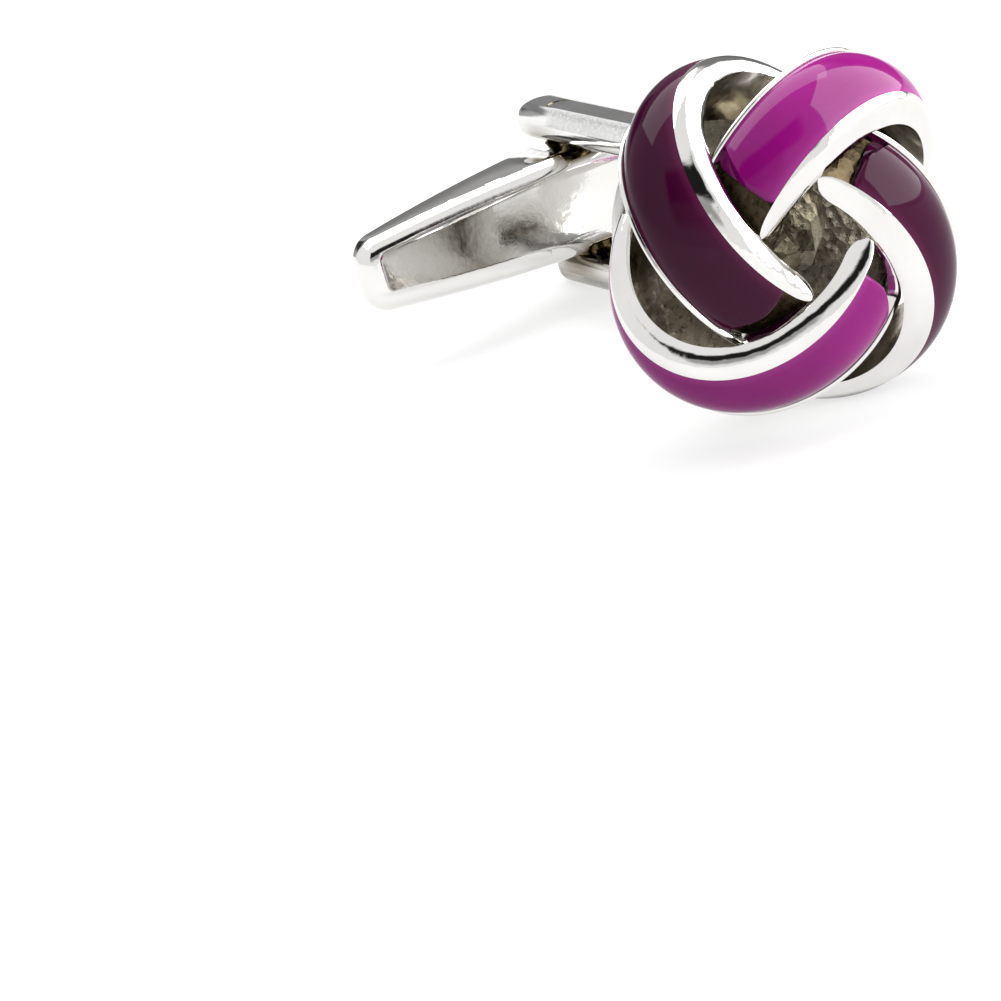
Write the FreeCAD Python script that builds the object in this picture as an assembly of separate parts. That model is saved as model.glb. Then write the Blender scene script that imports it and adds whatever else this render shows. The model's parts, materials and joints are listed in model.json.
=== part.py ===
import FreeCAD, Part
import math
import os

# Cufflink with a four-strand knot head, a forked post and a swivel toggle. Millimetres.
# Everything is drawn about the post axis first: X along the toggle, Y along the pivot pin,
# Z out of the face of the knot. The last step lays it down as it rests on a table, +Z up,
# with the origin below the middle of it.

# The knot: four equal strands, each a part turn of a leaning ring, a quarter turn apart.
knot_strands = 4
ring_lean = 131.0
ring_drop = 0.75
ring_offset = 1.40
knot_turn = 33.2
knot_flatten_share = 0.642
strand_tip_angle = -31.0
strand_tail_angle = 160.0
strand_gap = 0.06

# Section of a strand: the radius of its ring at the crest of the rim, drops below that
# radius, and distances across the band.
ring_r = 5.76
rim_crest_at = -1.02
rim_bulge_drop = 0.30
rim_bulge_at = -1.46
rim_foot_drop = 1.09
rim_foot_at = -1.60
edge_drop = 0.14
edge_thick = 0.26
edge_at = 2.16
edge_foot_drop = 0.96
channel_depth = 0.42

# The enamel lies in the channel and stands above it in a low crown. The channel runs out
# at the tip of the strand, bare for a short way before the enamel begins.
enamel_tip_angle = -17.0
enamel_tail_angle = 150.0
enamel_crown = 0.55
enamel_set = 0.04
enamel_gap = 0.02

# Back plate and core, which carry the strands.
plate_sink = 0.70
plate_thick = 0.90
plate_r = 5.70
plate_edge_round = 0.30
core_r = 2.30
core_wall = 1.60
core_dome = 1.20
strand_seat_gap = 0.02
peg_r = 1.00
peg_reach = 1.10
peg_gap = 0.02

# The forked post. Its axis lies a little below the middle of the knot.
post_drop = 0.40
pivot_back = 20.00
arm_gap = 4.70
arm_thick = 1.45
arm_width = 2.20
arm_overhang = 1.85
arm_round = 0.66
yoke_long = 4.60
yoke_round = 0.60
boss_base_r = 0.92
boss_tip_r = 0.70

# The toggle.
toggle_long = 21.00
toggle_wide = 4.25
toggle_end_wide = 2.90
toggle_end_round = 1.05
toggle_front = 1.90
toggle_back = 1.60
toggle_end_thick = 1.05
toggle_flat_back = 1.80
toggle_edge = 0.80
notch_deep = 0.35
notch_floor = 1.56
notch_mouth = 2.10

# Pivot pin and its fits.
pin_r = 0.45
pin_end_below = 0.03
pin_seat_gap = 0.01
pin_running_gap = 0.03
boss_running_gap = 0.06

overrun = 1.00
rest_steps = 6

X_AXIS = FreeCAD.Vector(1, 0, 0)
Y_AXIS = FreeCAD.Vector(0, 1, 0)
Z_AXIS = FreeCAD.Vector(0, 0, 1)
CENTRE = FreeCAD.Vector(0, 0, 0)
QUARTER_TURN = 90.0


def in_section(r, w):
    return FreeCAD.Vector(r, 0, w)


def line(a, b):
    return Part.makeLine(a, b)


def arc(a, middle, b):
    return Part.Arc(a, middle, b).toShape()


def face_of(edges):
    return Part.Face(Part.Wire(Part.__sortEdges__(edges)))


def part_turn(face, start, end):
    turned = face.revolve(CENTRE, Z_AXIS, end - start)
    turned.rotate(CENTRE, Z_AXIS, start)
    return turned


def flattened(shape):
    squeeze = FreeCAD.Matrix()
    squeeze.scale(1, 1, knot_flatten_share)
    return shape.transformGeometry(squeeze)


def along_y(radius, start, end):
    foot = FreeCAD.Vector(0, start, -pivot_back)
    return Part.makeCylinder(radius, end - start, foot, Y_AXIS)


def box_between(low, high):
    size = high - low
    return Part.makeBox(size.x, size.y, size.z, low)


def mirrored(shape, normal):
    return shape.mirror(CENTRE, normal)


# The band of a strand, in its own ring: the channel runs between the thick inner rim, which
# shows to the front, and the thin outer edge.
channel_start = rim_crest_at
channel_end = edge_at
edge_r = ring_r - edge_drop
crest = in_section(ring_r, channel_start)
edge_inner = in_section(edge_r, channel_end)
floor_start = in_section(ring_r - channel_depth, channel_start)
floor_end = in_section(edge_r - channel_depth, channel_end)
edge_outer = in_section(edge_r, channel_end + edge_thick)
edge_top = in_section(edge_r + edge_thick / 2, channel_end + edge_thick / 2)
edge_foot = in_section(ring_r - edge_foot_drop, channel_end + edge_thick)
rim_foot = in_section(ring_r - rim_foot_drop, rim_foot_at)
rim_bulge = in_section(ring_r - rim_bulge_drop, rim_bulge_at)


def solid_band():
    return face_of([
        arc(rim_foot, rim_bulge, crest),
        line(crest, edge_inner),
        arc(edge_inner, edge_top, edge_outer),
        line(edge_outer, edge_foot),
        line(edge_foot, rim_foot),
    ])


def channel_band():
    above = in_section(edge_r + overrun, channel_end)
    beside = in_section(ring_r + overrun, channel_start)
    return face_of([
        line(floor_start, floor_end),
        line(floor_end, above),
        line(above, beside),
        line(beside, floor_start),
    ])


def enamel_band():
    low = channel_start + enamel_gap
    high = channel_end - enamel_gap
    foot_low = in_section(floor_start.x + enamel_gap, low)
    foot_high = in_section(floor_end.x + enamel_gap, high)
    top_low = in_section(ring_r - enamel_set, low)
    top_high = in_section(edge_r - enamel_set, high)
    crown = in_section((top_low.x + top_high.x) / 2 + enamel_crown, (low + high) / 2)
    return face_of([
        line(foot_low, foot_high),
        line(foot_high, top_high),
        arc(top_high, crown, top_low),
        line(top_low, foot_low),
    ])


def angle_of(length):
    return math.degrees(length / floor_start.x)


def into_knot(shape, index):
    placed = shape.copy()
    placed.translate(FreeCAD.Vector(-ring_drop, ring_offset, 0))
    placed.rotate(CENTRE, Y_AXIS, -ring_lean)
    placed.rotate(CENTRE, Z_AXIS, knot_turn - QUARTER_TURN * index)
    return placed


# The plate cuts off the backs of the strands.
plate_face = plate_sink - ring_r * knot_flatten_share
plate_back = plate_face - plate_thick


def above_plate():
    reach = plate_r * 2
    seat = plate_face + strand_seat_gap
    return box_between(
        FreeCAD.Vector(-reach, -reach, seat), FreeCAD.Vector(reach, reach, seat + reach))


def strand_above(index):
    clear = solid_band().makeOffset2D(strand_gap)
    return into_knot(part_turn(clear, strand_tip_angle, strand_tail_angle), index - 1)


def seated(shape, index):
    tucked = into_knot(shape, index).cut(strand_above(index))
    return flattened(tucked).common(above_plate())


def make_strand(index):
    band = part_turn(solid_band(), strand_tip_angle, strand_tail_angle)
    run_out = strand_tip_angle - angle_of(overrun)
    channel = part_turn(channel_band(), run_out, enamel_tail_angle)
    return seated(band.cut(channel), index)


def make_enamel(index):
    end = enamel_tail_angle - angle_of(enamel_gap)
    band = part_turn(enamel_band(), enamel_tip_angle, end)
    return seated(band, index)


# The back plate has a hole for the peg of the post. The peg goes on into the core.
def make_plate():
    disc = Part.makeCylinder(plate_r, plate_thick, FreeCAD.Vector(0, 0, plate_back))
    rims = [edge for edge in disc.Edges if len(edge.Vertexes) == 1]
    disc = disc.makeFillet(plate_edge_round, rims)
    hole_foot = FreeCAD.Vector(0, -post_drop, plate_back - overrun)
    hole = Part.makeCylinder(peg_r + peg_gap, plate_thick + 2 * overrun, hole_foot)
    return disc.cut(hole)


def make_core():
    foot = plate_face + strand_seat_gap
    tall = core_wall + core_dome
    ball_r = (core_r ** 2 + core_dome ** 2) / (2 * core_dome)
    ball = Part.makeSphere(ball_r, FreeCAD.Vector(0, 0, foot + tall - ball_r))
    button = Part.makeCylinder(core_r, tall, FreeCAD.Vector(0, 0, foot)).common(ball)
    socket_foot = FreeCAD.Vector(0, -post_drop, foot - overrun)
    socket = Part.makeCylinder(peg_r + peg_gap, peg_reach + peg_gap + overrun, socket_foot)
    return button.cut(socket)


# The post is one piece: peg, yoke and two rounded arms with a conical boss at each pivot.
arm_inner = arm_gap / 2
arm_outer = arm_inner + arm_thick
post_face = plate_back - strand_seat_gap
boss_tip = toggle_wide / 2 - notch_deep + boss_running_gap


def make_arm():
    half = arm_width / 2
    start = post_face - yoke_long / 2
    centre = -pivot_back - arm_overhang
    outline = [
        line(FreeCAD.Vector(-half, arm_inner, start), FreeCAD.Vector(half, arm_inner, start)),
        line(FreeCAD.Vector(half, arm_inner, start), FreeCAD.Vector(half, arm_inner, centre)),
        arc(
            FreeCAD.Vector(half, arm_inner, centre),
            FreeCAD.Vector(0, arm_inner, centre - half),
            FreeCAD.Vector(-half, arm_inner, centre)),
        line(FreeCAD.Vector(-half, arm_inner, centre), FreeCAD.Vector(-half, arm_inner, start)),
    ]
    bar = face_of(outline).extrude(Y_AXIS * arm_thick)
    rounded = [edge for edge in bar.Edges if edge.BoundBox.YLength < arm_round]
    rounded = [edge for edge in rounded if edge.BoundBox.ZMin < start - arm_round]
    return bar.makeFillet(arm_round, rounded)


def make_boss():
    foot = FreeCAD.Vector(0, arm_inner, -pivot_back)
    return Part.makeCone(boss_base_r, boss_tip_r, arm_inner - boss_tip, foot, -Y_AXIS)


def make_yoke():
    half = arm_width / 2
    low = FreeCAD.Vector(-half, -arm_outer, post_face - yoke_long)
    high = FreeCAD.Vector(half, arm_outer, post_face)
    block = box_between(low, high)
    corners = [edge for edge in block.Edges if edge.BoundBox.ZLength < yoke_round]
    corners = [edge for edge in corners if edge.BoundBox.ZMax > post_face - yoke_round]
    return block.makeFillet(yoke_round, corners)


def make_post():
    reach = plate_thick + strand_seat_gap + peg_reach
    peg = Part.makeCylinder(peg_r, reach + yoke_round, FreeCAD.Vector(0, 0, post_face - yoke_round))
    arm = make_arm().fuse(make_boss())
    post = make_yoke().fuse([peg, arm, mirrored(arm, Y_AXIS)]).removeSplitter()
    hole = along_y(pin_r + pin_seat_gap, -arm_outer - overrun, arm_outer + overrun)
    return post.cut(hole)


def make_pin():
    end = arm_outer - pin_end_below
    return along_y(pin_r, -end, end)


# The toggle: a tapering bar, flat towards the knot, thin at its tips, with a notch on both
# edges of its waist in which the bosses of the post turn.
def toggle_plan():
    long_half = toggle_long / 2
    end_half = toggle_end_wide / 2
    front = toggle_front - pivot_back
    corner = FreeCAD.Vector(long_half, end_half, front)
    waist = FreeCAD.Vector(0, toggle_wide / 2, front)
    side = arc(FreeCAD.Vector(-long_half, end_half, front), waist, corner)
    end = line(corner, FreeCAD.Vector(long_half, -end_half, front))
    return face_of([side, mirrored(side, Y_AXIS), end, mirrored(end, X_AXIS)])


def toggle_side():
    long_half = toggle_long / 2 + overrun
    flat_half = toggle_flat_back / 2
    front = toggle_front - pivot_back
    back = -toggle_back - pivot_back
    thinned = toggle_front + toggle_back - toggle_end_thick
    slope = thinned / (toggle_long / 2 - flat_half)
    tip = back + slope * (long_half - flat_half)
    side = -toggle_wide
    points = [
        FreeCAD.Vector(-long_half, side, front),
        FreeCAD.Vector(long_half, side, front),
        FreeCAD.Vector(long_half, side, tip),
        FreeCAD.Vector(flat_half, side, back),
        FreeCAD.Vector(-flat_half, side, back),
        FreeCAD.Vector(-long_half, side, tip),
    ]
    outline = Part.makePolygon(points + points[:1])
    return Part.Face(outline).extrude(Y_AXIS * (2 * toggle_wide))


def toggle_notch():
    mouth = notch_mouth / 2
    floor = notch_floor / 2
    top = toggle_wide / 2
    deep = top - notch_deep
    spread = (mouth - floor) / notch_deep
    wide = mouth + spread * overrun
    low = -pivot_back - toggle_back - overrun
    points = [
        FreeCAD.Vector(-floor, deep, low),
        FreeCAD.Vector(floor, deep, low),
        FreeCAD.Vector(wide, top + overrun, low),
        FreeCAD.Vector(-wide, top + overrun, low),
    ]
    outline = Part.makePolygon(points + points[:1])
    tall = toggle_front + toggle_back + 2 * overrun
    return Part.Face(outline).extrude(Z_AXIS * tall)


def make_toggle():
    depth = toggle_front + toggle_back + overrun
    blank = toggle_plan().extrude(-Z_AXIS * depth)
    corners = [edge for edge in blank.Edges if edge.BoundBox.ZLength > depth / 2]
    blank = blank.makeFillet(toggle_end_round, corners).common(toggle_side())
    above = toggle_front - pivot_back - toggle_end_thick / 2
    front_edges = [edge for edge in blank.Edges if edge.BoundBox.ZMin > above]
    blank = blank.makeFillet(toggle_edge, front_edges)
    notch = toggle_notch()
    blank = blank.cut([notch, mirrored(notch, Y_AXIS)])
    bore = along_y(pin_r + pin_running_gap, -toggle_wide, toggle_wide)
    return blank.cut(bore)


def make_all():
    sides = ("left", "top", "right", "bottom")
    pieces = {}
    for index in range(knot_strands):
        pieces["strand_" + sides[index]] = make_strand(index)
        pieces["enamel_" + sides[index]] = make_enamel(index)
    pieces["knot_core"] = make_core()
    pieces["back_plate"] = make_plate()
    for node, make in (("post_fork", make_post), ("pivot_pin", make_pin), ("toggle", make_toggle)):
        pieces[node] = make()
        pieces[node].translate(FreeCAD.Vector(0, -post_drop, 0))
    return pieces


# The finished link lies on the edge of its knot and on the end of its lower arm.
def lowest(shapes):
    return min(shape.optimalBoundingBox(False, False).ZMin for shape in shapes)


def lay_down(pieces):
    shapes = list(pieces.values())
    knot = [shape for node, shape in pieces.items() if node.startswith(("strand", "enamel"))]
    tilt = 0
    for shape in shapes:
        shape.rotate(CENTRE, X_AXIS, QUARTER_TURN)
    for step in range(rest_steps):
        lift = lowest([pieces["post_fork"]]) - lowest(knot)
        lean = math.degrees(math.atan2(lift, pivot_back))
        tilt += lean
        for shape in shapes:
            shape.rotate(CENTRE, X_AXIS, -lean)
    box = FreeCAD.BoundBox()
    for shape in shapes:
        box.add(shape.optimalBoundingBox(False, False))
    shift = FreeCAD.Vector(-box.Center.x, -box.Center.y, -box.ZMin)
    for shape in shapes:
        shape.translate(shift)
    print("tilt", tilt, "shift", shift)


os.makedirs("parts", exist_ok=True)
link = make_all()
lay_down(link)
for node, shape in link.items():
    print(node, shape.isValid(), len(shape.Solids), round(shape.Volume, 3), shape.BoundBox)
    shape.exportStep("parts/" + node + ".step")
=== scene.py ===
import json
import math

import bmesh
import bpy
import numpy as np
from mathutils import Matrix, Vector


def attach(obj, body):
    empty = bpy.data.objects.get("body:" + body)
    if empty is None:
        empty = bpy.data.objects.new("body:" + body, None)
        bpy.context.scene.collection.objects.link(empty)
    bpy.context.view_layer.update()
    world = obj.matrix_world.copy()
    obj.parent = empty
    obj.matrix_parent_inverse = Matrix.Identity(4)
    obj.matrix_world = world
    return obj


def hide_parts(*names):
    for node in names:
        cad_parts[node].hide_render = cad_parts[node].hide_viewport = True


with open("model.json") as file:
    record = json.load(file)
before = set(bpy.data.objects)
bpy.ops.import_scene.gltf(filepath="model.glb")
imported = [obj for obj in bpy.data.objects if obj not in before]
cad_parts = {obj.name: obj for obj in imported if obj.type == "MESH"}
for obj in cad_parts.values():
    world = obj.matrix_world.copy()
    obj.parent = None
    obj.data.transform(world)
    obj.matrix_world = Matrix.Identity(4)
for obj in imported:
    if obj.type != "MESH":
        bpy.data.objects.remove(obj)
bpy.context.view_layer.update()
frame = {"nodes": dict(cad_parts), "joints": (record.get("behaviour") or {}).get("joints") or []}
MM = 0.001

# Where the link lies: the swivel joint gives the pivot and the direction of the pin, and the
# post runs from the pivot to the middle of the knot.
PIVOT_BACK = 20.00
POST_DROP = 0.40
swivel = frame["joints"][0]
ALONG_TOGGLE = Vector((1, 0, 0))
ALONG_PIN = Vector(swivel["axis"]).normalized()
KNOT_FRONT = ALONG_TOGGLE.cross(ALONG_PIN)
KNOT_CENTRE = Vector(swivel["pos_m"]) + (ALONG_PIN * POST_DROP + KNOT_FRONT * PIVOT_BACK) * MM
TO_WORLD = Matrix.Translation(KNOT_CENTRE) @ Matrix(
    (ALONG_TOGGLE, ALONG_PIN, KNOT_FRONT)).transposed().to_4x4() @ Matrix.Scale(MM, 4)

# The knot, in millimetres and degrees about its own centre: how each strand's ring stands in it,
# the section of a strand, the enamel in its channel, and the plate below.
RING_LEAN = 131.0
RING_DROP = 0.75
RING_OFFSET = 1.40
KNOT_TURN = 33.2
KNOT_FLATTEN = 0.642
FLATTEN = Matrix.Diagonal((1, 1, KNOT_FLATTEN, 1))
TIP_ANGLE = -31.0
TAIL_ANGLE = 160.0
RING_R = 5.76
CREST_AT = -1.02
BULGE = (RING_R - 0.30, -1.46)
RIM_FOOT = (RING_R - 1.09, -1.60)
EDGE_R = RING_R - 0.14
EDGE_AT = 2.16
EDGE_THICK = 0.26
EDGE_FOOT_R = RING_R - 0.96
CHANNEL_DEPTH = 0.42
ENAMEL_TIP = -17.0
ENAMEL_TAIL = 150.0
ENAMEL_CROWN = 0.51
ENAMEL_SET = 0.015
ENAMEL_SHORT = 0.90
TUCK_GAP = 0.05
PLATE_FACE = 0.70 - RING_R * KNOT_FLATTEN
SEAT_GAP = 0.02

# The tip of a strand, and the start of its enamel: the stretch that is drawn in, the share of the
# section that is left at the very end, and the point that it is drawn to.
TAPER_ANGLE = 52.0
TIP_SHARE = 0.34
TIP_ROUND = 1.00
TIP_KEEP = 0.12
TIP_SHORT = 0.5
TIP_CENTRE = (RING_R - 0.30, CREST_AT - 0.12)
ENAMEL_ROUND = 0.28
ENAMEL_KEEP = 0.62
ENAMEL_CENTRE_R = EDGE_FOOT_R + 0.40

STRAND_STEPS = 260
RIM_STEPS = 22
CROWN_STEPS = 28
EDGE_STEPS = 10
FLAT_STEPS = 8
WALL_STEPS = 3
LIP_STEPS = 4
SHARP_ANGLE = math.radians(32)
CUT_MARGIN = 1e-6


def arc_through(a, b, c, steps):
    """Points on the circle through three points of a section, from a to c."""
    ax, ay = a
    bx, by = b
    cx, cy = c
    d = 2 * (ax * (by - cy) + bx * (cy - ay) + cx * (ay - by))
    sa, sb, sc = ax * ax + ay * ay, bx * bx + by * by, cx * cx + cy * cy
    ux = (sa * (by - cy) + sb * (cy - ay) + sc * (ay - by)) / d
    uy = (sa * (cx - bx) + sb * (ax - cx) + sc * (bx - ax)) / d
    radius = math.hypot(ax - ux, ay - uy)
    start = math.atan2(ay - uy, ax - ux)
    middle = math.atan2(by - uy, bx - ux)
    end = math.atan2(cy - uy, cx - ux)
    turn = 2 * math.pi
    if (middle - start) % turn <= (end - start) % turn:
        sweep = (end - start) % turn
    else:
        sweep = -((start - end) % turn)
    angles = [start + sweep * i / steps for i in range(steps + 1)]
    return [(ux + radius * math.cos(t), uy + radius * math.sin(t)) for t in angles]


def straight(a, b, steps):
    start, way = np.array(a), np.array(b) - np.array(a)
    return [tuple(start + way * i / steps) for i in range(steps + 1)]


def loop_of(*runs):
    """One closed section from runs that share their end points."""
    points = []
    for run in runs:
        points.extend(run[:-1])
    return np.array(points)


CREST = (RING_R, CREST_AT)
EDGE_IN = (EDGE_R, EDGE_AT)
EDGE_OUT = (EDGE_R, EDGE_AT + EDGE_THICK)
EDGE_TOP = (EDGE_R + EDGE_THICK / 2, EDGE_AT + EDGE_THICK / 2)
EDGE_FOOT = (EDGE_FOOT_R, EDGE_AT + EDGE_THICK)
FLOOR_A = (RING_R - CHANNEL_DEPTH, CREST_AT)
FLOOR_B = (EDGE_R - CHANNEL_DEPTH, EDGE_AT)


def band_section(*top):
    """A closed section of a band, with the runs of its top face given."""
    return loop_of(
        arc_through(RIM_FOOT, BULGE, CREST, RIM_STEPS),
        *top,
        arc_through(EDGE_IN, EDGE_TOP, EDGE_OUT, EDGE_STEPS),
        straight(EDGE_OUT, EDGE_FOOT, LIP_STEPS),
        straight(EDGE_FOOT, RIM_FOOT, FLAT_STEPS))


def strand_section():
    return band_section(
        straight(CREST, FLOOR_A, WALL_STEPS),
        straight(FLOOR_A, FLOOR_B, FLAT_STEPS),
        straight(FLOOR_B, EDGE_IN, WALL_STEPS))


def solid_section(grow):
    """The band without its channel, a little larger, which trims what is tucked below it."""
    outline = band_section(straight(CREST, EDGE_IN, FLAT_STEPS))
    ahead = np.roll(outline, -1, 0) - np.roll(outline, 1, 0)
    normal = np.stack([ahead[:, 1], -ahead[:, 0]], 1)
    normal /= np.linalg.norm(normal, axis=1, keepdims=True)
    outward = np.sign(((outline - outline.mean(0)) * normal).sum())
    return outline + normal * grow * outward


def strand_at(angle):
    """The band at one place: its rim grows slender towards the tip, and the tip is round."""
    section = strand_section()
    share = min(1.0, max(0.0, (angle - TIP_ANGLE - TIP_SHORT) / TAPER_ANGLE))
    slender = TIP_SHARE + (1 - TIP_SHARE) * share * share * (3 - 2 * share)
    rim = section[:, 1] < CREST_AT
    section[rim, 1] = CREST_AT + (section[rim, 1] - CREST_AT) * slender
    run = run_of(angle, TIP_ANGLE + TIP_SHORT)
    return round_end(section, run, TIP_ROUND, TIP_KEEP, TIP_CENTRE)


def enamel_at(angle):
    section = enamel_section()
    centre = (ENAMEL_CENTRE_R, section[:, 1].mean())
    return round_end(section, run_of(angle, ENAMEL_TIP), ENAMEL_ROUND, ENAMEL_KEEP, centre)


def enamel_section():
    """The fill between the floor of the channel and a low crown."""
    top_low = (RING_R - ENAMEL_SET, CREST_AT)
    top_high = (EDGE_R - ENAMEL_SET, EDGE_AT)
    crown = ((top_low[0] + top_high[0]) / 2 + ENAMEL_CROWN, (CREST_AT + EDGE_AT) / 2)
    return loop_of(
        straight(FLOOR_A, FLOOR_B, FLAT_STEPS),
        straight(FLOOR_B, top_high, WALL_STEPS),
        arc_through(top_high, crown, top_low, CROWN_STEPS),
        straight(top_low, FLOOR_A, WALL_STEPS))


def sweep(name, section_at, start, end, steps, finish=None):
    """A closed tube: a section, which may change on the way, turned about the ring's axis."""
    angles = np.linspace(start, end, steps + 1)
    rings = []
    for angle in angles:
        r, w = section_at(angle).T
        turn = math.radians(angle)
        rings.append(np.stack([r * math.cos(turn), r * math.sin(turn), w], 1))
    return tube(name, rings, finish)


def tube(name, rings, finish=None):
    """Quads between rings of points, with both ends closed; finish numbers the runs of faces."""
    count = len(rings[0])
    steps = len(rings) - 1
    faces = []
    for i in range(steps):
        for j in range(count):
            k = (j + 1) % count
            near, far = i * count, (i + 1) * count
            faces.append((near + j, near + k, far + k, far + j))
    faces.append(tuple(range(count - 1, -1, -1)))
    faces.append(tuple(range(steps * count, (steps + 1) * count)))
    mesh = bpy.data.meshes.new(name)
    mesh.from_pydata([tuple(v) for v in np.concatenate(rings)], [], faces)
    if finish is not None:
        mesh.polygons.foreach_set("material_index", list(finish) * steps + [0, 0])
    tidy_normals(mesh)
    return mesh


def round_end(section, run, length, keep, centre):
    """Draws a section in towards a point over the last stretch, so that the tip is round."""
    if run >= length:
        return section
    lack = 1 - run / length
    factor = keep + (1 - keep) * math.sqrt(max(0.0, 1 - lack * lack))
    return centre + (section - centre) * factor


def run_of(angle, start):
    """How far a place on the ring lies from the start of a strand."""
    return math.radians(angle - start) * RING_R


def tidy_normals(mesh):
    bm = bmesh.new()
    bm.from_mesh(mesh)
    bmesh.ops.recalc_face_normals(bm, faces=bm.faces)
    bm.to_mesh(mesh)
    bm.free()


def in_scene(name, mesh):
    piece = bpy.data.objects.new(name, mesh)
    bpy.context.scene.collection.objects.link(piece)
    return piece


def into_knot(index):
    """From the frame of a strand's ring to that of the knot, before it is flattened."""
    return (Matrix.Rotation(math.radians(KNOT_TURN - 90 * index), 4, "Z")
            @ Matrix.Rotation(math.radians(-RING_LEAN), 4, "Y")
            @ Matrix.Translation((-RING_DROP, RING_OFFSET, 0)))


def trimmed(mesh, cutter_mesh):
    """The mesh less the cutter, both in the frame of the knot."""
    piece = in_scene("trim_piece", mesh)
    cutter = in_scene("trim_cutter", cutter_mesh)
    cut = piece.modifiers.new("cut", "BOOLEAN")
    cut.operation = "DIFFERENCE"
    cut.solver = "EXACT"
    cut.object = cutter
    graph = bpy.context.evaluated_depsgraph_get()
    made = bpy.data.meshes.new_from_object(piece.evaluated_get(graph))
    bpy.data.objects.remove(piece)
    bpy.data.objects.remove(cutter)
    return made


def above_plate(mesh):
    """Cuts off what would lie below the face of the back plate, and closes the cut."""
    bm = bmesh.new()
    bm.from_mesh(mesh)
    level = Vector((0, 0, PLATE_FACE + SEAT_GAP))
    cut = bmesh.ops.bisect_plane(
        bm, geom=bm.verts[:] + bm.edges[:] + bm.faces[:], dist=CUT_MARGIN,
        plane_co=level, plane_no=Vector((0, 0, -1)), clear_outer=True)
    rim = [e for e in cut["geom_cut"] if isinstance(e, bmesh.types.BMEdge)]
    if rim:
        bmesh.ops.triangle_fill(bm, edges=rim, use_beauty=True)
    bmesh.ops.recalc_face_normals(bm, faces=bm.faces)
    bm.to_mesh(mesh)
    bm.free()
    return mesh


def cutter_band(grow):
    """The band that crosses over the first one, without its channel and larger by so much."""
    section = solid_section(grow)
    mesh = sweep("cutter", lambda angle: section, TIP_ANGLE, TAIL_ANGLE, STRAND_STEPS)
    mesh.transform(into_knot(-1))
    return mesh


def strand_piece(mesh, cutter):
    """A swept band or fill in its place in the knot: trimmed, flattened and cut at the plate."""
    mesh.transform(into_knot(0))
    mesh = trimmed(mesh, cutter)
    mesh.transform(FLATTEN)
    return above_plate(mesh)


def mark_across(mesh):
    """Stores how far each point lies across its channel, from the rim to the thin edge."""
    back = (FLATTEN @ into_knot(0)).inverted()
    across = mesh.attributes.new("across", "FLOAT", "POINT")
    for vertex in mesh.vertices:
        width = (back @ vertex.co).z - CREST_AT
        across.data[vertex.index].value = width / (EDGE_AT - CREST_AT)


def smooth(mesh):
    mesh.polygons.foreach_set("use_smooth", [True] * len(mesh.polygons))
    mesh.set_sharp_from_angle(angle=SHARP_ANGLE)


def put_in_place(piece, body, node):
    """Hands a piece to the frame: it rides on the body and stands for the CAD node."""
    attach(piece, body)
    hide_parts(node)


def stand_for(mesh, name, node, body, materials, turn=0.0):
    """Puts a finished mesh, in knot millimetres, in the place of a CAD node."""
    mesh = mesh.copy()
    mesh.transform(TO_WORLD @ Matrix.Rotation(math.radians(turn), 4, "Z"))
    smooth(mesh)
    kinds = [polygon.material_index for polygon in mesh.polygons]
    mesh.materials.clear()
    for one in materials:
        mesh.materials.append(one)
    last = len(materials) - 1
    mesh.polygons.foreach_set("material_index", [min(kind, last) for kind in kinds])
    put_in_place(in_scene(name, mesh), body, node)


# Materials. Lengths in them are in metres, and the scale of a noise is in cells per metre.
AO_SAMPLES = 8


def new_material(name):
    """A material, its nodes and links, and its shader."""
    material = bpy.data.materials.new(name)
    material.use_nodes = True
    nodes = material.node_tree.nodes
    return material, nodes, material.node_tree.links, nodes["Principled BSDF"]


def shaded(colour, share):
    return tuple(value * share for value in colour)


def set_roughness(nodes, links, shader, value, stops):
    """Sets the shader's roughness from a pattern."""
    pattern = ramp(nodes, links, value, [(at, grey(level)) for at, level in stops])
    links.new(pattern, shader.inputs["Roughness"])


def noise(nodes, links, place, scale, detail, roughness=0.5):
    texture = nodes.new("ShaderNodeTexNoise")
    texture.inputs["Scale"].default_value = scale
    texture.inputs["Detail"].default_value = detail
    texture.inputs["Roughness"].default_value = roughness
    links.new(place, texture.inputs["Vector"])
    return texture.outputs["Fac"]


def ramp(nodes, links, value, stops):
    node = nodes.new("ShaderNodeValToRGB")
    links.new(value, node.inputs["Fac"])
    elements = node.color_ramp.elements
    while len(elements) < len(stops):
        elements.new(0.5)
    for element, (at, colour) in zip(elements, stops):
        element.position = at
        element.color = colour if len(colour) == 4 else (*colour, 1)
    return node.outputs["Color"]


def object_place(nodes):
    """The place on the piece, for the patterns on it."""
    return nodes.new("ShaderNodeTexCoord").outputs["Object"]


def grey(value):
    return (value, value, value, 1)


def mixed(nodes, links, factor, low, high):
    """Blends two colours, each a plain colour or a socket."""
    node = nodes.new("ShaderNodeMix")
    node.data_type = "RGBA"
    links.new(factor, node.inputs["Factor"])
    for socket, value in (("A", low), ("B", high)):
        if isinstance(value, tuple):
            node.inputs[socket].default_value = value
        else:
            links.new(value, node.inputs[socket])
    return node.outputs["Result"]


def bump(nodes, links, height, strength, distance, below=None):
    node = nodes.new("ShaderNodeBump")
    node.inputs["Strength"].default_value = strength
    node.inputs["Distance"].default_value = distance
    links.new(height, node.inputs["Height"])
    if below is not None:
        links.new(below, node.inputs["Normal"])
    return node.outputs["Normal"]


def painted_crevice_shade(nodes, links, reach, dark_at, light_at):
    """0 in a crevice, 1 on an open surface: the mask of the painted shade in crevices, from ambient
    occlusion.
    """
    hollow = nodes.new("ShaderNodeAmbientOcclusion")
    hollow.samples = AO_SAMPLES
    hollow.inputs["Distance"].default_value = reach
    stops = [(dark_at, grey(0)), (light_at, grey(1))]
    return ramp(nodes, links, hollow.outputs["AO"], stops)


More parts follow.
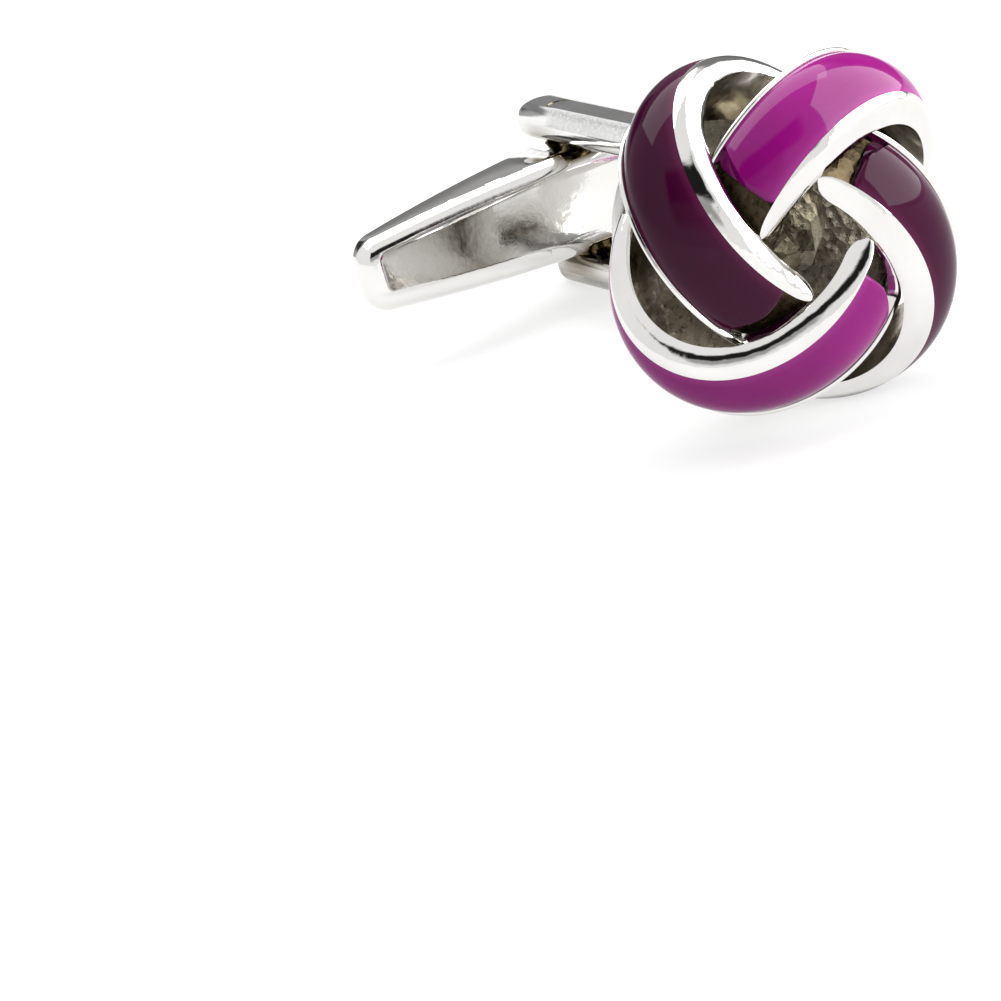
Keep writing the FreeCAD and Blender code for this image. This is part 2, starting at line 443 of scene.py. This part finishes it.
def polished_metal(name, tint, shadow, shine, wave):
    """Bright plating over a hand-polished casting, with painted brown shade in the crevices."""
    material, nodes, links, shader = new_material(name)
    place = object_place(nodes)
    unshaded = painted_crevice_shade(nodes, links, 0.8 * MM, 0.10, 0.50)
    cloud = noise(nodes, links, place, 420.0, 3.0)
    unshaded_colour = ramp(nodes, links, cloud, [(0.35, shaded(tint, 0.94)), (0.65, tint)])
    # Painted shade: where the crevice mask is low, the colour turns to the dark shadow colour.
    links.new(mixed(nodes, links, unshaded, (*shadow, 1), unshaded_colour), shader.inputs["Base Color"])
    shader.inputs["Metallic"].default_value = 1.0
    spots = noise(nodes, links, place, 2600.0, 4.0, 0.6)
    dull = ramp(nodes, links, spots, [(0.40, grey(shine * 0.6)), (0.75, grey(shine * 1.9))])
    links.new(mixed(nodes, links, unshaded, grey(0.32), dull), shader.inputs["Roughness"])
    swell = noise(nodes, links, place, 1500.0, 1.0)
    soft = bump(nodes, links, swell, wave, 0.10 * MM)
    scratch = noise(nodes, links, place, 5200.0, 3.0, 0.6)
    fine = bump(nodes, links, scratch, 0.10, 0.02 * MM, soft)
    links.new(fine, shader.inputs["Normal"])
    return material


def cast_metal(name, tint, shadow, grain_size):
    """Metal as it left the mould: brown-grey, pitted, with bright crumbs of plating, and painted
    shade in its hollows.
    """
    material, nodes, links, shader = new_material(name)
    place = object_place(nodes)
    unshaded = painted_crevice_shade(nodes, links, 1.6 * MM, 0.05, 0.75)
    cloud = noise(nodes, links, place, 700.0, 4.0, 0.6)
    crumbs = noise(nodes, links, place, 1 / grain_size, 3.0, 0.7)
    base = ramp(nodes, links, cloud, [(0.32, shaded(tint, 0.55)), (0.70, tint)])
    # Painted shade: the dark shadow colour in the hollows.
    links.new(mixed(nodes, links, unshaded, (*shadow, 1), base), shader.inputs["Base Color"])
    shader.inputs["Metallic"].default_value = 1.0
    set_roughness(nodes, links, shader, crumbs, [(0.35, 0.42), (0.70, 0.20)])
    pits = nodes.new("ShaderNodeTexVoronoi")
    pits.inputs["Scale"].default_value = 0.55 / grain_size
    links.new(place, pits.inputs["Vector"])
    deep = bump(nodes, links, pits.outputs["Distance"], 0.55, 0.35 * grain_size)
    links.new(bump(nodes, links, crumbs, 0.5, 0.15 * grain_size, deep), shader.inputs["Normal"])
    return material


def enamel(name, deep, bright, rim, gloss):
    """Poured enamel: faint clouds in the colour, paler along both edges, partly where it runs thin
    and partly as a painted sheen, under a hard gloss.
    """
    material, nodes, links, shader = new_material(name)
    place = object_place(nodes)
    across = nodes.new("ShaderNodeAttribute")
    across.attribute_name = "across"
    cloud = noise(nodes, links, place, 240.0, 3.0)
    body = ramp(nodes, links, cloud, [(0.30, deep), (0.72, bright)])
    stops = ((0.0, 0), (0.10, 0.85), (0.30, 1), (0.72, 1), (0.92, 0.8), (1.0, 0))
    clear_of_edge = ramp(nodes, links, across.outputs["Fac"], [(at, grey(value)) for at, value in stops])
    # Partly painted sheen: the paler rim colour along both edges of the channel, and partly thinner
    # enamel there.
    links.new(mixed(nodes, links, clear_of_edge, (*rim, 1), body), shader.inputs["Base Color"])
    dust = noise(nodes, links, place, 3800.0, 4.0, 0.65)
    set_roughness(nodes, links, shader, dust, [(0.35, 0.035), (0.85, 0.085)])
    shader.inputs["Specular IOR Level"].default_value = gloss
    flow = bump(nodes, links, noise(nodes, links, place, 300.0, 1.5), 0.05, 0.10 * MM)
    links.new(flow, shader.inputs["Normal"])
    return material


def satin_metal(name, tint, shadow):
    """Plating that was tumbled, not polished: an even fine grain, and painted brown shade in the
    hollows.
    """
    material, nodes, links, shader = new_material(name)
    place = object_place(nodes)
    unshaded = painted_crevice_shade(nodes, links, 3.0 * MM, 0.45, 0.95)
    cloud = noise(nodes, links, place, 500.0, 4.0)
    unshaded_colour = ramp(nodes, links, cloud, [(0.35, shaded(tint, 0.93)), (0.65, tint)])
    # Painted shade: the dark brown shadow colour in the hollows and between the arms.
    links.new(mixed(nodes, links, unshaded, (*shadow, 1), unshaded_colour), shader.inputs["Base Color"])
    shader.inputs["Metallic"].default_value = 1.0
    grain = noise(nodes, links, place, 9000.0, 3.0, 0.6)
    set_roughness(nodes, links, shader, grain, [(0.35, 0.07), (0.75, 0.16)])
    links.new(bump(nodes, links, grain, 0.25, 0.012 * MM), shader.inputs["Normal"])
    return material


def turned_metal(name, tint, shadow):
    """The back of a casting: satin with straight tool marks, and painted brown shade in the hollows
    and close to other parts.
    """
    material, nodes, links, shader = new_material(name)
    place = nodes.new("ShaderNodeMapping")
    place.inputs["Scale"].default_value = (1.0, 1.0, 0.07)
    links.new(nodes.new("ShaderNodeTexCoord").outputs["Object"], place.inputs["Vector"])
    marks = noise(nodes, links, place.outputs["Vector"], 2400.0, 5.0, 0.7)
    unshaded = painted_crevice_shade(nodes, links, 3.2 * MM, 0.40, 0.92)
    base = ramp(nodes, links, marks, [(0.34, shaded(tint, 0.80)), (0.66, tint)])
    # Painted shade: the brown shadow colour where other parts crowd the plate.
    links.new(mixed(nodes, links, unshaded, (*shadow, 1), base), shader.inputs["Base Color"])
    shader.inputs["Metallic"].default_value = 1.0
    set_roughness(nodes, links, shader, marks, [(0.35, 0.40), (0.70, 0.26)])
    links.new(bump(nodes, links, marks, 0.45, 0.03 * MM), shader.inputs["Normal"])
    return material


plating = polished_metal(
    "plating", tint=(0.82, 0.81, 0.79), shadow=(0.055, 0.042, 0.026), shine=0.05, wave=0.22)
bar_plating = polished_metal(
    "bar_plating", tint=(0.82, 0.81, 0.79), shadow=(0.07, 0.055, 0.035), shine=0.07, wave=0.03)
plate_back = turned_metal("plate_back", tint=(0.78, 0.77, 0.75), shadow=(0.12, 0.09, 0.04))
arm_plating = satin_metal("arm_plating", tint=(0.84, 0.84, 0.83), shadow=(0.13, 0.10, 0.05))
band_inside = polished_metal(
    "band_inside", tint=(0.62, 0.585, 0.54), shadow=(0.06, 0.045, 0.025), shine=0.16, wave=0.12)
plate_front = cast_metal(
    "plate_front", tint=(0.34, 0.305, 0.24), shadow=(0.045, 0.034, 0.019), grain_size=0.22 * MM)
recess = cast_metal(
    "recess", tint=(0.125, 0.095, 0.055), shadow=(0.020, 0.014, 0.007), grain_size=0.22 * MM)
core_cast = cast_metal(
    "core_cast", tint=(0.32, 0.285, 0.20), shadow=(0.030, 0.024, 0.015), grain_size=0.30 * MM)
magenta = enamel(
    "magenta_enamel", deep=(0.235, 0.003, 0.152), bright=(0.305, 0.007, 0.205),
    rim=(0.36, 0.03, 0.25), gloss=0.24)
aubergine = enamel(
    "aubergine_enamel", deep=(0.042, 0.0012, 0.020), bright=(0.056, 0.0020, 0.028),
    rim=(0.10, 0.012, 0.05), gloss=0.15)

# The four strands are one shape, a quarter turn apart. Each is tucked under the one before it.
BRIGHT, DULL, INSIDE = 0, 1, 2
STRAND_FINISH = (
    [BRIGHT] * (RIM_STEPS + WALL_STEPS) + [DULL] * FLAT_STEPS
    + [BRIGHT] * (WALL_STEPS + EDGE_STEPS + LIP_STEPS) + [INSIDE] * FLAT_STEPS)
STRAND_MATERIALS = [plating, recess, band_inside]
SIDES = ("left", "top", "right", "bottom")
band = sweep(
    "strand", strand_at, TIP_ANGLE + TIP_SHORT, TAIL_ANGLE, STRAND_STEPS, STRAND_FINISH)
strand = strand_piece(band, cutter_band(TUCK_GAP))
fill = strand_piece(
    sweep("enamel", enamel_at, ENAMEL_TIP, ENAMEL_TAIL, STRAND_STEPS), cutter_band(ENAMEL_SHORT))
mark_across(fill)
for index, side in enumerate(SIDES):
    turn = -90 * index
    if index % 2 == 0:
        fill_slot, fill_material = "dark_enamel", aubergine
    else:
        fill_slot, fill_material = "magenta_enamel", magenta
    stand_for(
        strand, "knot_strand_" + side, "strand_" + side, "link",
        STRAND_MATERIALS, turn)
    stand_for(
        fill, "knot_enamel_" + side, "enamel_" + side, "link", [fill_material], turn)

# Copies of CAD nodes: how close points are welded (metres), how flat a joint between faces may be
# to be taken away (degrees), the least area of a flat (square millimetres), and how squarely a
# face looks forward to count as the front.
WELD = 1e-7
FLAT_ANGLE = 0.2
FLAT_AREA = 0.8
FRONT_SHARE = 0.9
MOST_CORNERS = 4


def polished_copy(node, body, material, border=0.04, front=None):
    """The node's own shape, its seams welded, with a narrow border round each flat face so that
    the flats stay flat and only the rounded edges are shaded round."""
    mesh = frame["nodes"][node].data.copy()
    bm = bmesh.new()
    bm.from_mesh(mesh)
    bmesh.ops.remove_doubles(bm, verts=bm.verts, dist=WELD)
    bmesh.ops.dissolve_limit(
        bm, angle_limit=math.radians(FLAT_ANGLE), verts=bm.verts, edges=bm.edges)
    flats = [
        face for face in bm.faces
        if face.calc_area() > FLAT_AREA * MM * MM and len(face.verts) > MOST_CORNERS]
    bmesh.ops.inset_individual(bm, faces=flats, thickness=border * MM)
    bmesh.ops.triangulate(bm, faces=[face for face in bm.faces if len(face.verts) > MOST_CORNERS])
    bmesh.ops.recalc_face_normals(bm, faces=bm.faces)
    bm.to_mesh(mesh)
    bm.free()
    mesh.materials.clear()
    mesh.materials.append(material)
    if front is not None:
        mesh.materials.append(front)
        for polygon in mesh.polygons:
            polygon.material_index = 1 if polygon.normal.dot(KNOT_FRONT) > FRONT_SHARE else 0
    smooth(mesh)
    put_in_place(in_scene("polished_" + node, mesh), body, node)


polished_copy("back_plate", "link", plate_back, front=plate_front)
polished_copy("pivot_pin", "link", bar_plating)
polished_copy("post_fork", "link", arm_plating)
polished_copy("toggle", "toggle_bar", bar_plating, border=0.12)

# The core in the hole at the middle: a crumpled, faceted button of cast metal.
CORE_R = 2.30
CORE_WALL = 1.60
CORE_DOME = 1.20
CORE_AROUND = 9
CORE_LEVELS = (1.0, 1.0, 0.74, 0.44, 0.14)
CORE_DENT = 0.10
CORE_SINK = 0.30
CORE_TWIST = 0.35
CORE_BEVEL = 0.03


def shake_of(level, k):
    """A fixed value from 0 to 1 for each corner of the core, without a pattern."""
    value = math.sin(12.9898 * (k + 1) + 78.233 * (level + 1)) * 43758.5453
    return value - math.floor(value)


def core_mesh():
    ball_r = (CORE_R ** 2 + CORE_DOME ** 2) / (2 * CORE_DOME)
    foot = PLATE_FACE + SEAT_GAP
    crown = foot + CORE_WALL + CORE_DOME
    rings = []
    for level, share in enumerate(CORE_LEVELS):
        ring = []
        for k in range(CORE_AROUND):
            shake = shake_of(level, k)
            place = k + 0.5 * (level % 2) + CORE_TWIST * (shake - 0.5)
            turn = 2 * math.pi * place / CORE_AROUND
            r = CORE_R * share * (1 - CORE_DENT * shake)
            z = crown - ball_r + math.sqrt(ball_r ** 2 - r ** 2) - CORE_SINK * shake
            ring.append((r * math.cos(turn), r * math.sin(turn), foot if level == 0 else z))
        rings.append(np.array(ring))
    mesh = tube("core", rings)
    bm = bmesh.new()
    bm.from_mesh(mesh)
    bmesh.ops.triangulate(bm, faces=bm.faces)
    bmesh.ops.bevel(
        bm, geom=bm.edges[:], offset=CORE_BEVEL, segments=2, profile=0.5, affect="EDGES",
        clamp_overlap=True)
    bmesh.ops.recalc_face_normals(bm, faces=bm.faces)
    bm.to_mesh(mesh)
    bm.free()
    return mesh


stand_for(core_mesh(), "crumpled_core", "knot_core", "link", [core_cast])


# The stage: a white floor that keeps the shadow, and white surroundings. The floor and the world
# show one brightness and light the link with another.
FLOOR_HALF = 3.0
FLOOR_ROUGH = 0.9
FLOOR_WHITE = 0.74
FLOOR_SHADE = 0.30
FLOOR_FALL = 0.70
WORLD_LIGHT = 0.22
WORLD_SEEN = 0.95
WHITE = (1, 1, 1, 1)
# Bearing from the front, height, softness of the border (degrees), share of the light left.
DIM_PLACES = (
    ((-44, 22), (23, 45), 4, 0.015),
    ((-44, 6), (10, 24), 6, 0.40),
    ((108, 160), (-5, 42), 8, 0.24),
    ((160, 200), (-5, 45), 6, 0.42),
    ((-200, -152), (-5, 45), 6, 0.42),
    ((-200, -154), (10, 30), 4, 0.10),
    ((125, 200), (-4, 14), 5, 0.55),
)


def combined(nodes, links, operation, a, b):
    node = nodes.new("ShaderNodeMath")
    node.operation = operation
    links.new(a, node.inputs[0])
    links.new(b, node.inputs[1])
    return node.outputs[0]


def seen_directly(nodes, links):
    """1 for what the camera, a reflection or a clear body shows, 0 for the light that falls."""
    path = nodes.new("ShaderNodeLightPath").outputs
    first = combined(nodes, links, "MAXIMUM", path["Is Camera Ray"], path["Is Glossy Ray"])
    return combined(nodes, links, "MAXIMUM", first, path["Is Transmission Ray"])


def scaled(nodes, links, value, low, high):
    node = nodes.new("ShaderNodeMapRange")
    links.new(value, node.inputs["Value"])
    node.inputs["To Min"].default_value = low
    node.inputs["To Max"].default_value = high
    return node.outputs["Result"]


def add_floor():
    mesh = bpy.data.meshes.new("floor")
    signs = ((-1, -1), (1, -1), (1, 1), (-1, 1))
    corners = [(x * FLOOR_HALF, y * FLOOR_HALF, 0) for x, y in signs]
    mesh.from_pydata(corners, [], [(0, 1, 2, 3)])
    material, nodes, links, shader = new_material("white_floor")
    shown = seen_directly(nodes, links)
    colour = mixed(nodes, links, shown, grey(FLOOR_FALL), grey(FLOOR_SHADE))
    links.new(colour, shader.inputs["Base Color"])
    shader.inputs["Roughness"].default_value = FLOOR_ROUGH
    shader.inputs["Specular IOR Level"].default_value = 0.0
    shader.inputs["Emission Color"].default_value = WHITE
    glow = scaled(nodes, links, shown, 0.0, FLOOR_WHITE)
    links.new(glow, shader.inputs["Emission Strength"])
    mesh.materials.append(material)
    in_scene("floor", mesh)


def within(nodes, links, value, low, high, soft):
    """1 between two bounds, with soft shoulders."""
    steps = []
    for start, end in ((low - soft, low + soft), (high + soft, high - soft)):
        node = nodes.new("ShaderNodeMapRange")
        node.interpolation_type = "SMOOTHSTEP"
        links.new(value, node.inputs["Value"])
        node.inputs["From Min"].default_value = start
        node.inputs["From Max"].default_value = end
        steps.append(node.outputs["Result"])
    return combined(nodes, links, "MULTIPLY", *steps)


def math_of(nodes, links, operation, value, factor=None):
    """A math node on one value, with a plain second number where it takes one."""
    node = nodes.new("ShaderNodeMath")
    node.operation = operation
    links.new(value, node.inputs[0])
    if factor is not None:
        node.inputs[1].default_value = factor
    return node.outputs[0]


def add_world():
    """A white room with a dark opening in front, towards the camera, and dim places behind."""
    world = bpy.data.worlds.new("studio")
    bpy.context.scene.world = world
    world.use_nodes = True
    nodes, links = world.node_tree.nodes, world.node_tree.links
    background = nodes["Background"]
    split = nodes.new("ShaderNodeSeparateXYZ")
    links.new(nodes.new("ShaderNodeTexCoord").outputs["Generated"], split.inputs[0])
    front = math_of(nodes, links, "MULTIPLY", split.outputs["Y"], -1.0)
    bearing = combined(nodes, links, "ARCTAN2", split.outputs["X"], front)
    height = math_of(nodes, links, "ARCSINE", split.outputs["Z"])
    shades = None
    for bearing_range, height_range, soft_border, share in DIM_PLACES:
        soft = math.radians(soft_border)
        across = within(nodes, links, bearing, *map(math.radians, bearing_range), soft)
        upright = within(nodes, links, height, *map(math.radians, height_range), soft)
        kept = scaled(nodes, links, combined(nodes, links, "MULTIPLY", across, upright), 1.0, share)
        shades = kept if shades is None else combined(nodes, links, "MULTIPLY", shades, kept)
    level = scaled(nodes, links, seen_directly(nodes, links), WORLD_LIGHT, WORLD_SEEN)
    background.inputs["Color"].default_value = WHITE
    strength = combined(nodes, links, "MULTIPLY", level, shades)
    links.new(strength, background.inputs["Strength"])


def add_softbox(name, place, aim, size, power):
    lamp = bpy.data.lights.new(name, "AREA")
    lamp.shape = "RECTANGLE"
    lamp.size, lamp.size_y = size
    lamp.energy = power
    box = bpy.data.objects.new(name, lamp)
    bpy.context.scene.collection.objects.link(box)
    box.location = place
    box.rotation_euler = (Vector(aim) - Vector(place)).to_track_quat("-Z", "Y").to_euler()


add_floor()
add_world()

# The camera, from the side and a little above, with the knot towards the upper right.
IMAGE = 1001
VIEW_AZIMUTH = -23.19
VIEW_ELEVATION = 20.17
VIEW_ROLL = 12.06
VIEW_DISTANCE = 277.8 * MM
FOCAL_PIXELS = 7361.0
KNOT_PIXEL = (789.0, 232.0)
SENSOR = 36.0
CLIP_NEAR, CLIP_FAR = 0.01, 20.0


def add_camera():
    azimuth, elevation = math.radians(VIEW_AZIMUTH), math.radians(VIEW_ELEVATION)
    back = Vector((
        math.sin(azimuth) * math.cos(elevation),
        -math.cos(azimuth) * math.cos(elevation),
        math.sin(elevation)))
    side = Vector((0, 0, 1)).cross(back).normalized()
    upright = Matrix((side, back.cross(side), back)).transposed()
    rolled = upright @ Matrix.Rotation(math.radians(-VIEW_ROLL), 3, "Z")
    column, row = KNOT_PIXEL
    aim = Vector((column - IMAGE / 2, IMAGE / 2 - row, -FOCAL_PIXELS)).normalized()
    off_centre = Vector((0, 0, -1)).rotation_difference(aim).to_matrix()
    data = bpy.data.cameras.new("camera")
    data.sensor_width = SENSOR
    data.lens = FOCAL_PIXELS / IMAGE * SENSOR
    data.clip_start, data.clip_end = CLIP_NEAR, CLIP_FAR
    camera = bpy.data.objects.new("camera", data)
    bpy.context.scene.collection.objects.link(camera)
    turn = rolled @ off_centre.transposed()
    camera.matrix_world = Matrix.Translation(KNOT_CENTRE + back * VIEW_DISTANCE) @ turn.to_4x4()
    bpy.context.scene.camera = camera


add_camera()

# Two large soft lights: one on the right, one above and a little behind.
add_softbox(
    "right_light", place=(0.45, -0.265, 0.42), aim=(0, -0.265, 0.42), size=(0.77, 0.80), power=8.5)
add_softbox(
    "top_light", place=(0.02, 0.30, 0.70), aim=(0.02, 0.30, 0), size=(0.95, 0.70), power=7.0)

bpy.context.scene.view_settings.view_transform = "Standard"
